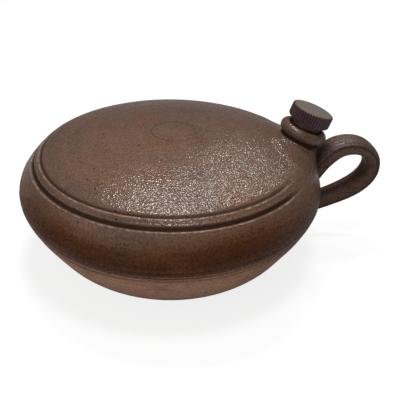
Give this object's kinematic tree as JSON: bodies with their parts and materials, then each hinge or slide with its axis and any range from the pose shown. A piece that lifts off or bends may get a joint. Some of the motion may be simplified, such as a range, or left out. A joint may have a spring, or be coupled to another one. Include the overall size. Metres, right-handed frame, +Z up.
{
  "type": "stoneware flask",
  "caption": "Flat round stoneware flask that lies on its foot, with a domed top, a short leaning neck closed by a screw stopper on a rubber washer, and a strap handle.",
  "frame": {"origin": "centre of the flat foot, on the surface that the flask lies on", "axes": "+Z up, away from the foot; +X from the middle of the body towards the neck and the handle; +Y across the handle"},
  "size_m": [0.2956, 0.2402, 0.1251],
  "materials": {
    "stoneware": "brown salt glaze with an orange-peel skin",
    "washer_rubber": "aged dark rubber",
    "stopper_moulding": "dark plum-brown moulding with a dulled top"
  },
  "bodies": {
    "flask": {"bowl": "stoneware", "dome": "stoneware", "neck": "stoneware", "handle": "stoneware"},
    "washer": {"washer": "washer_rubber"},
    "stopper": {"stopper": "stopper_moulding"}
  },
  "joints": [
    {"name": "stopper_turn", "type": "hinge", "parent": "washer", "child": "stopper", "pos_m": [0.1066, 0, 0.101], "axis": [0.342, 0, 0.9397], "range_deg": [0, 1440]},
    {"name": "stopper_rise", "type": "slide", "parent": "flask", "child": "washer", "axis": [0.342, 0, 0.9397], "range_m": [0, 0.016]}
  ],
  "couplings": [
    {"joint": "stopper_rise", "follows": "stopper_turn", "m_per_rad": 0.00063662}
  ]
}
